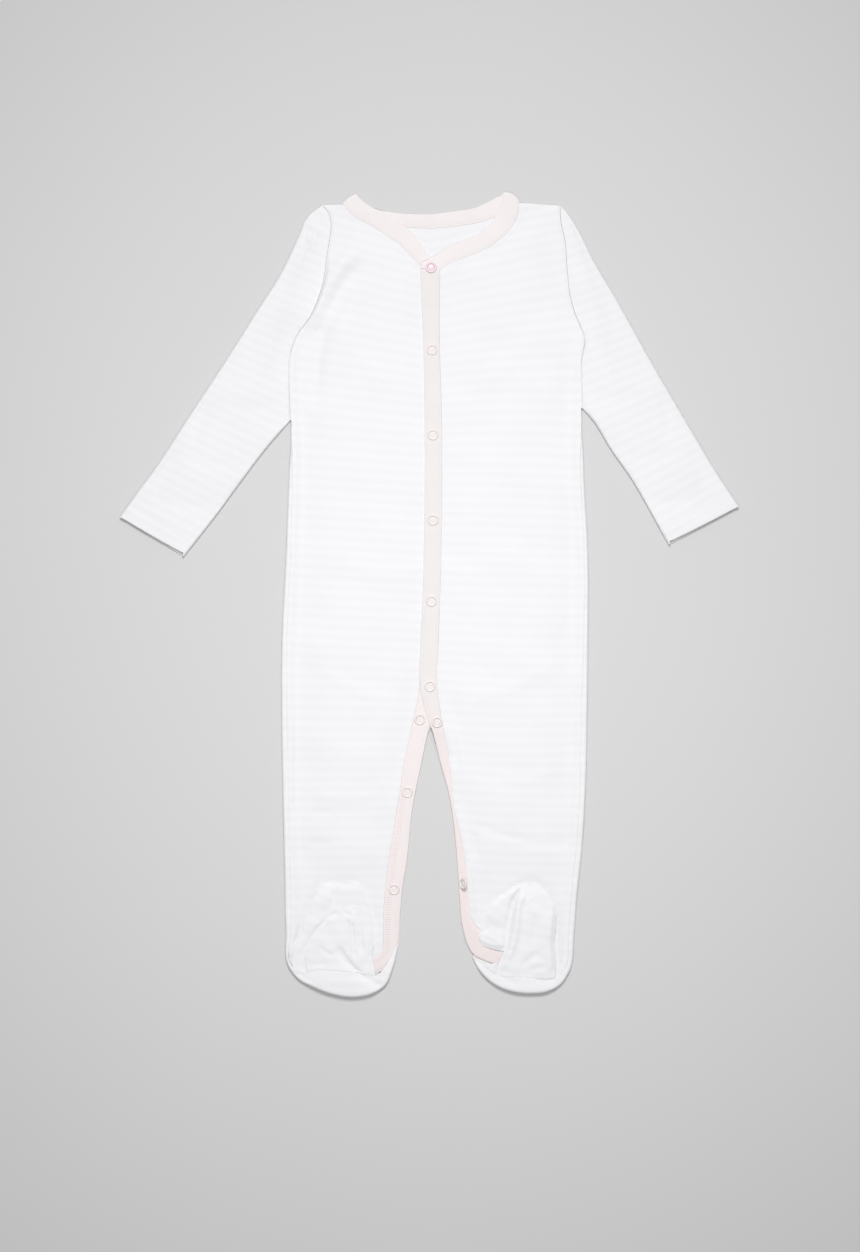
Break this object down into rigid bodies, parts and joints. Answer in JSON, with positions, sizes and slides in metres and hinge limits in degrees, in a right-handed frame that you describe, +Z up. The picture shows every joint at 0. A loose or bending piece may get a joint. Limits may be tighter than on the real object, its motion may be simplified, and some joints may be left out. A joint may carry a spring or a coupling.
{
  "type": "footed baby sleepsuit",
  "caption": "Long-sleeved footed baby sleepsuit in pale striped cotton, snapped down the front and both inner legs, laid flat on its back.",
  "frame": {"origin": "centre of the bounding box in plan, on the surface that the back lies on", "axes": "+Y from the feet towards the neck, +X towards the wearer's left, +Z up out of the surface"},
  "size_m": [0.5321, 0.6921, 0.0054],
  "materials": {
    "striped_knit": "matte",
    "binding_knit": "matte",
    "snap_enamel": "satin"
  },
  "bodies": {
    "root": {"back": "striped_knit", "front_right": "striped_knit", "front_left": "striped_knit", "sleeve_right": "striped_knit", "sleeve_left": "striped_knit", "foot_upper_right": "striped_knit", "foot_upper_left": "striped_knit", "foot_sole_right": "striped_knit", "foot_sole_left": "striped_knit", "neck_binding": "binding_knit", "binding_over": "binding_knit", "binding_under": "binding_knit", "binding_back": "binding_knit", "snap_front_1": "snap_enamel", "snap_front_2": "snap_enamel", "snap_front_3": "snap_enamel", "snap_front_4": "snap_enamel", "snap_front_5": "snap_enamel", "snap_front_6": "snap_enamel", "snap_leg_right_1": "snap_enamel", "snap_leg_right_2": "snap_enamel", "snap_leg_right_3": "snap_enamel", "snap_leg_left_1": "snap_enamel", "snap_leg_left_2": "snap_enamel"}
  },
  "joints": []
}
